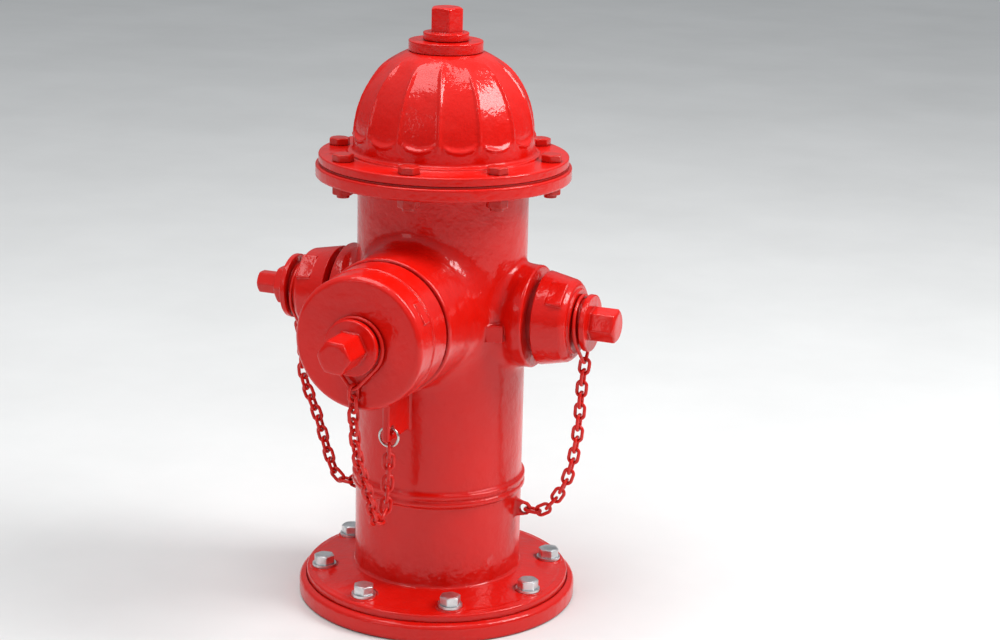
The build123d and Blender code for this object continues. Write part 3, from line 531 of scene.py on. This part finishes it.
def turning_nut(x, y, z):
    across = np.hypot(x, y)
    flat = PENTAGON / (1 + math.cos(math.radians(36))) * math.cos(math.radians(36))
    body = prism(x, y, z, 5, flat, 737.0, 768.0, 33 - 90, 0.9, 2.5)
    body = join(body, disc(z, across, 21.5, 690, 737.3, 0.5), 0.4)
    body = join(body, disc(z, across, 28.0, 689.8, 700.8, 0.5), 0.4)
    body = join(body, disc(z, across, 20.0, 640, 690.5, 0.5), 0.4)
    return cut(body, disc(z, across, 14.05, 600, 720, 0.5), 0.3)


RED = "red_enamel"
solid("barrel_casting", barrel, (-172, -176, 17), (172, 172, 573), 2.4, "root", RED, "upper_barrel")
solid("bonnet_casting", bonnet, (-158, -158, 573), (158, 158, 714), 1.7, "root", RED, "bonnet")
solid("ground_ring", ground_ring, (-182, -182, 0), (182, 182, 25), 2.0, "root", RED, "ground_flange")
solid("pumper_cap_casting", pumper_cap, (-86, -319, 315), (86, -178, 487), 1.7, "pumper_cap", RED,
      "pumper_cap")
solid("hose_cap_casting_right", hose_cap(1), (142, -62, 326), (240, 62, 452), 1.3, "hose_cap_right", RED,
      "hose_cap_right")
solid("hose_cap_casting_left", hose_cap(-1), (-260, -62, 326), (-142, 62, 452), 1.3, "hose_cap_left", RED,
      "hose_cap_left")
solid("hold_down", hold_down, (-47, -47, 703), (47, 47, 728), 1.0, "root", RED, "hold_down_nut")
solid("weather_disc", cap_washer, (-29, -29, 727), (29, 29, 738), 0.9, "drive", RED, "weather_cap")
solid("turning_nut", turning_nut, (-29, -29, 640), (29, 29, 769), 1.0, "drive", RED, "operating_nut")
bonnet_bolt = solid("bonnet_bolt_set", bolt_head(BONNET_FLANGE_TOP, 24, 9, 8, 539.9), (-15, -15, 539),
                    (15, 15, 596), 0.8, "root", "red_enamel_fastener", "bonnet_bolts")
ring_of(bonnet_bolt, BONNET_BOLTS, BONNET_BOLT_PHASE, BONNET_BOLT_PCR / 1000)
bonnet_nut = solid("bonnet_nut_set", hex_nut(543.9, TOP_FLANGE_LOW, 24, 8.1), (-15, -15, 543),
                   (15, 15, 557), 0.8, "root", "red_enamel_fastener", "bonnet_nuts")
ring_of(bonnet_nut, BONNET_BOLTS, BONNET_BOLT_PHASE, BONNET_BOLT_PCR / 1000)
base_bolt = solid("base_bolt_set", bolt_head(39.8, 24, 11, 8, 1), (-15, -15, 0), (15, 15, 53), 0.8,
                  "root", "zinc_steel", "base_bolts")
ring_of(base_bolt, BASE_BOLTS, BASE_BOLT_PHASE, BASE_BOLT_PCR / 1000)


# ---------------------------------------------------------------- stage, light and camera
def floor():
    side, drop = 14.0, 0.0005         # the floor lies a hair below the ground flange
    bpy.ops.mesh.primitive_plane_add(size=side, location=(0, 0, -drop))
    plane = bpy.context.object
    plane.name = "floor"
    mat, tree, shader = new_material("pale_floor")
    coords = node(tree, "ShaderNodeTexCoord").outputs["Object"]
    tone = noise_value(tree, coords, 2.0, 5.0, 0.6)
    shade = mix_colour(tree, ramp(tree, tone, 0.3, 0.7), (0.74, 0.74, 0.73, 1), (0.80, 0.80, 0.79, 1))
    tree.links.new(shade, shader.inputs["Base Color"])
    shader.inputs["Roughness"].default_value = 0.85
    plane.data.materials.append(mat)


def softbox(name, place, target, width, height, power):
    light = bpy.data.lights.new(name, "AREA")
    light.shape = "RECTANGLE"
    light.size, light.size_y = width, height
    light.energy = power
    obj = bpy.data.objects.new(name, light)
    scene.collection.objects.link(obj)
    obj.location = place
    obj.rotation_euler = (Vector(target) - Vector(place)).to_track_quat("-Z", "Y").to_euler()


def sky():
    world = bpy.data.worlds.new("soft_studio")
    scene.world = world
    world.use_nodes = True
    tree = world.node_tree
    coords = node(tree, "ShaderNodeTexCoord").outputs["Generated"]
    height = node(tree, "ShaderNodeSeparateXYZ", {"Vector": coords}).outputs["Z"]
    tone = mix_colour(tree, ramp(tree, height, 0.0, 0.6), (0.22, 0.22, 0.23, 1), (0.92, 0.96, 1.0, 1))
    background = tree.nodes["Background"]
    tree.links.new(tone, background.inputs["Color"])
    background.inputs["Strength"].default_value = 0.5


def camera():
    heading, pitch, roll = math.radians(21.21), math.radians(15.67), math.radians(1.43)
    forward = Vector((-math.sin(heading) * math.cos(pitch), math.cos(heading) * math.cos(pitch),
                      -math.sin(pitch)))
    right = forward.cross(Vector((0, 0, 1))).normalized()
    up = right.cross(forward)
    across = right * math.cos(roll) + up * math.sin(roll)
    rise = up * math.cos(roll) - right * math.sin(roll)
    data = bpy.data.cameras.new("camera")
    data.lens = 76.97
    data.sensor_width = 36.0
    data.clip_end = 50
    obj = bpy.data.objects.new("camera", data)
    scene.collection.objects.link(obj)
    turn = Matrix((across, rise, -forward)).transposed().to_4x4()
    obj.matrix_world = Matrix.Translation((1.0235, -2.4295, 1.1086)) @ turn
    scene.camera = obj


floor()
sky()
camera()
softbox("key", (2.4, 0.5, 2.7), (0, 0, 0.4), 1.1, 1.8, 84)
softbox("top", (-0.4, -0.6, 3.8), (0, 0, 0.3), 2.4, 2.4, 82)
softbox("front", (-1.6, -3.6, 1.8), (0, 0, 0.35), 1.2, 1.6, 9)
